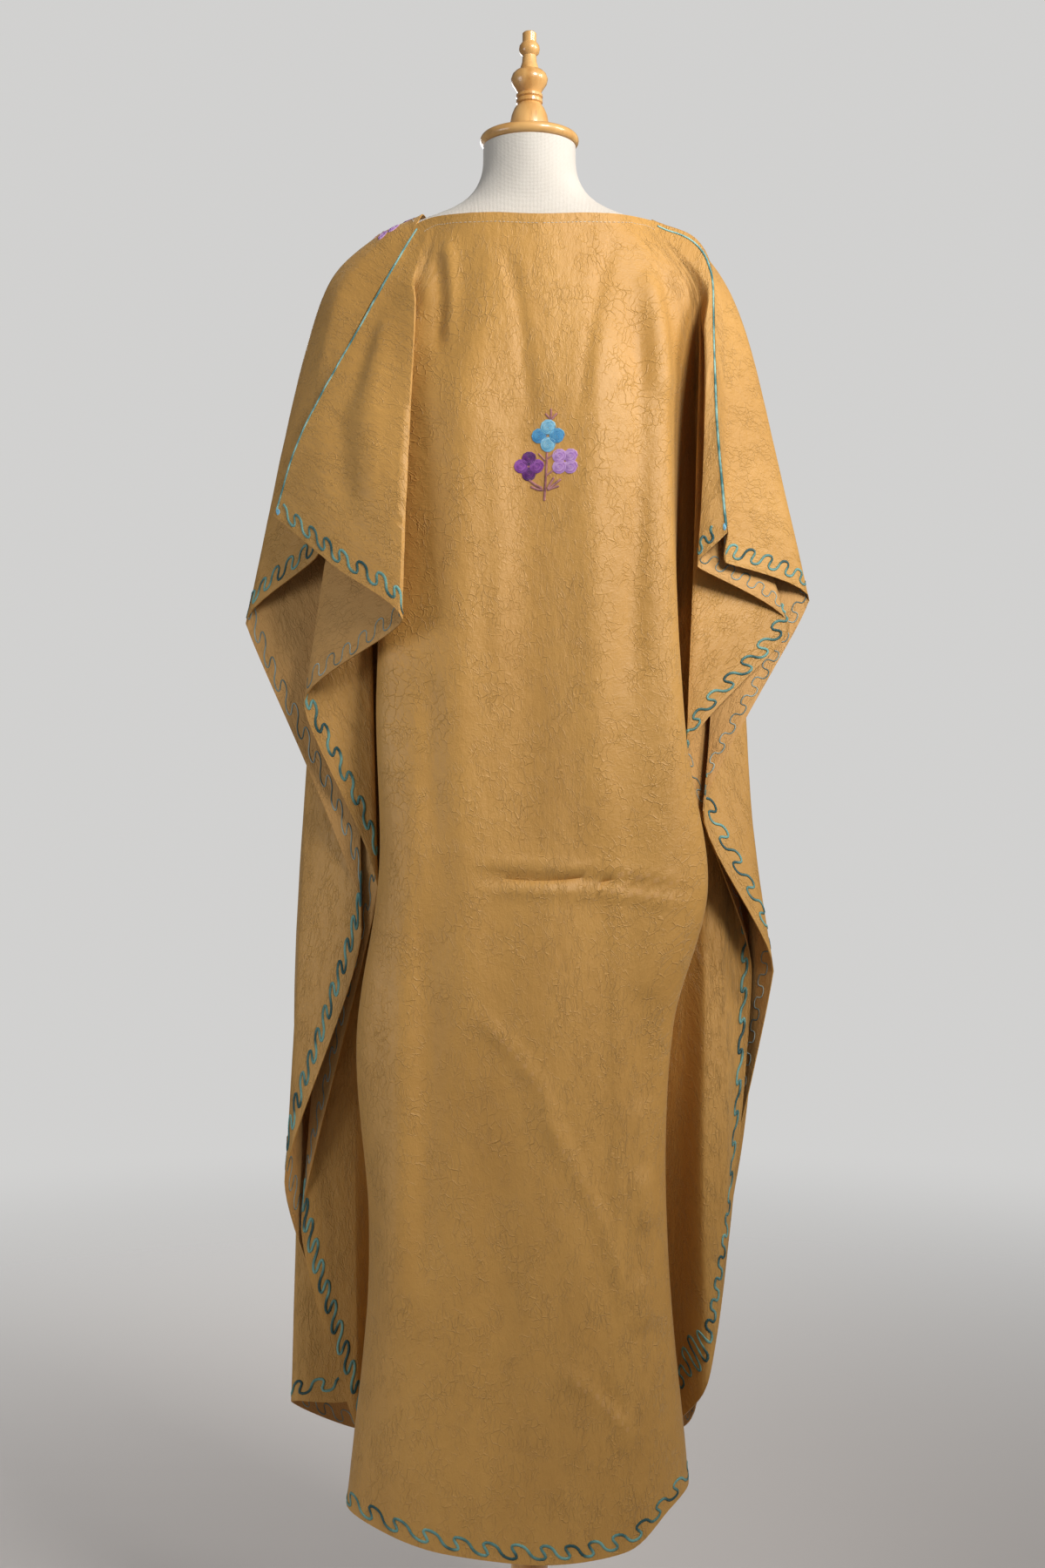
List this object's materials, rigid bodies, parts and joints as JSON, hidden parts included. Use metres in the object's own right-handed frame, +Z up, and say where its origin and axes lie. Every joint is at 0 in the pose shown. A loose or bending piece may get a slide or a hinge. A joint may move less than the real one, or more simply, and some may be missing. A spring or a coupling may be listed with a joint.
{
  "type": "kaftan on a dress form",
  "caption": "Full-length silk kaftan with wide cut-in-one sleeves, open sides and an embroidered border, hung on a limbless linen-covered dress form with a turned cap, pole and round base.",
  "frame": {"origin": "middle of the underside of the round base, on the floor", "axes": "+Z up, +Y out of the garment's back, +X towards the wearer's left"},
  "size_m": [0.606, 0.36, 1.8148],
  "materials": {
    "ochre_silk": "satin, finely creased",
    "cream_linen": "plain weave, matt",
    "honey_wood": "gloss varnish"
  },
  "bodies": {
    "root": {"stand_base": "honey_wood", "stand_pole": "honey_wood", "form_torso": "cream_linen", "neck_cap": "honey_wood", "finial": "honey_wood", "kaftan_back": "ochre_silk", "kaftan_front": "ochre_silk"}
  },
  "joints": []
}
